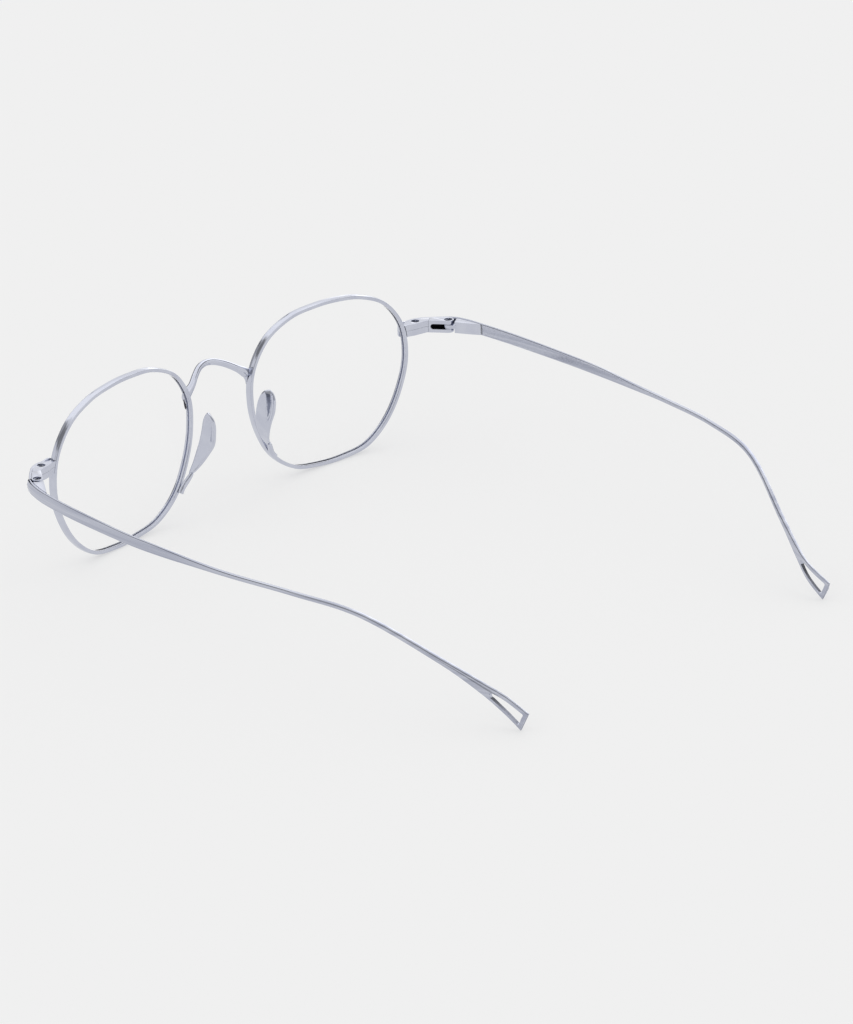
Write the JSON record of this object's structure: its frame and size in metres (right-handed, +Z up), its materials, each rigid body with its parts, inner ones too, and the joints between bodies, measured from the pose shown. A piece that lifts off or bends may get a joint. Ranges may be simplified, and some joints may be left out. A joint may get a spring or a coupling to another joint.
{
  "type": "eyeglasses",
  "caption": "Titanium wire-rim eyeglasses with clear lenses, an arched bridge, curved paddle nose pads and temples that fold on open hinges and end in open triangular tips.",
  "frame": {"origin": "middle of the open frame's footprint, on the surface that the rims and the temple tips stand on", "axes": "+X towards the wearer's left, +Y from the bridge back along the temples, +Z up"},
  "size_m": [0.146, 0.1532, 0.0414],
  "materials": {
    "titanium": "satin titanium, softly polished on the wire",
    "pad": "matt titanium sheet",
    "lens": "clear with an anti-reflection coat",
    "screw": "dark machined steel",
    "washer": "turned titanium"
  },
  "bodies": {
    "front": {"rim_left": "titanium", "rim_right": "titanium", "lens_left": "lens", "lens_right": "lens", "bridge": "titanium", "nose_pad_left": "pad", "nose_pad_right": "pad", "pad_arm_left": "titanium", "pad_arm_right": "titanium", "endpiece_left": "titanium", "endpiece_right": "titanium", "rim_block_upper_left": "titanium", "rim_block_upper_right": "titanium", "rim_block_lower_left": "titanium", "rim_block_lower_right": "titanium", "rim_screw_left": "screw", "rim_screw_right": "screw", "hinge_front_left": "titanium", "hinge_front_right": "titanium", "hinge_screw_left": "screw", "hinge_screw_right": "screw", "hinge_washers_left": "washer", "hinge_washers_right": "washer"},
    "temple_left": {"temple_left": "titanium", "temple_hinge_left": "titanium"},
    "temple_right": {"temple_right": "titanium", "temple_hinge_right": "titanium"}
  },
  "joints": [
    {"name": "left_fold", "type": "hinge", "parent": "front", "child": "temple_left", "pos_m": [0.06666, -0.062, 0.02733], "axis": [0, 0, 1], "range_deg": [0, 85]},
    {"name": "right_fold", "type": "hinge", "parent": "front", "child": "temple_right", "pos_m": [-0.06666, -0.062, 0.02733], "axis": [0, 0, -1], "range_deg": [0, 79]}
  ]
}
